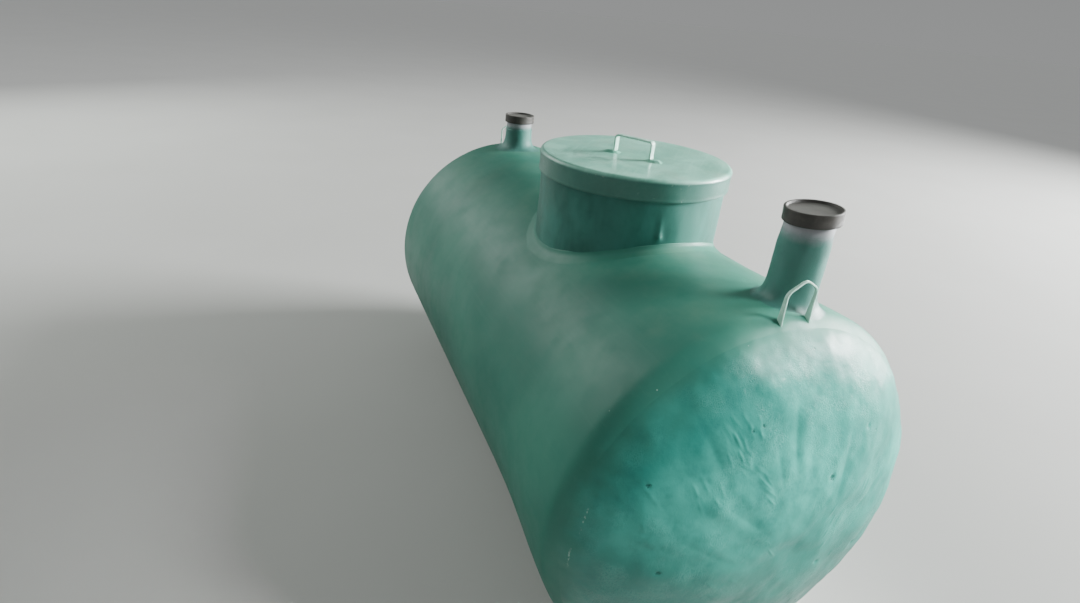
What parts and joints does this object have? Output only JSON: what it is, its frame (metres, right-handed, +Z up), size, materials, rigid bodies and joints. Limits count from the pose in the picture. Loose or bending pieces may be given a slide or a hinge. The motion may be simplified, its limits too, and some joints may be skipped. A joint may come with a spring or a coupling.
{
  "type": "biogas digester tank",
  "caption": "Horizontal fibreglass digester tank with dished ends, a round manhole under a lift-off lid, capped pipes and lifting eyes.",
  "frame": {"origin": "on the floor, at the bottom centre of the tank's box", "axes": "+X along the tank towards the near end with the taller pipe, +Y to the tank's left, +Z up"},
  "size_m": [2.3, 1.068, 1.2693],
  "materials": {
    "barrel_laminate": "green resin coat over fibreglass, satin",
    "dish_laminate": "green resin coat over rough hand-laid strands",
    "neck_laminate": "green resin coat, uneven",
    "lid_moulding": "pale green resin coat, satin",
    "painted_bar": "pale green paint over a steel bar",
    "bare_pipe": "pale grey pipe plastic",
    "pipe_cap": "dark grey moulded plastic"
  },
  "bodies": {
    "tank": {"barrel_keel": "barrel_laminate", "barrel_bilge_left": "barrel_laminate", "barrel_bilge_right": "barrel_laminate", "barrel_side_left": "barrel_laminate", "barrel_side_right": "barrel_laminate", "barrel_shoulder_left": "barrel_laminate", "barrel_shoulder_right": "barrel_laminate", "barrel_crown_far": "barrel_laminate", "barrel_crown_near": "barrel_laminate", "near_dished_end": "dish_laminate", "far_dished_end": "dish_laminate", "manhole_neck": "neck_laminate", "manhole_root_laminate": "neck_laminate", "near_pipe": "bare_pipe", "near_pipe_sleeve": "neck_laminate", "near_pipe_cap": "pipe_cap", "far_pipe": "bare_pipe", "far_pipe_sleeve": "neck_laminate", "far_pipe_cap": "pipe_cap", "near_lifting_eye": "painted_bar", "near_eye_patch": "neck_laminate", "far_lifting_eye": "painted_bar", "far_eye_patch": "neck_laminate"},
    "lid": {"manhole_lid": "lid_moulding", "lid_handle": "painted_bar", "lid_handle_pad_far": "lid_moulding", "lid_handle_pad_near": "lid_moulding"}
  },
  "joints": [
    {"name": "lid_lift", "type": "slide", "parent": "tank", "child": "lid", "axis": [0, 0, 1], "range_m": [0, 0.3]}
  ]
}
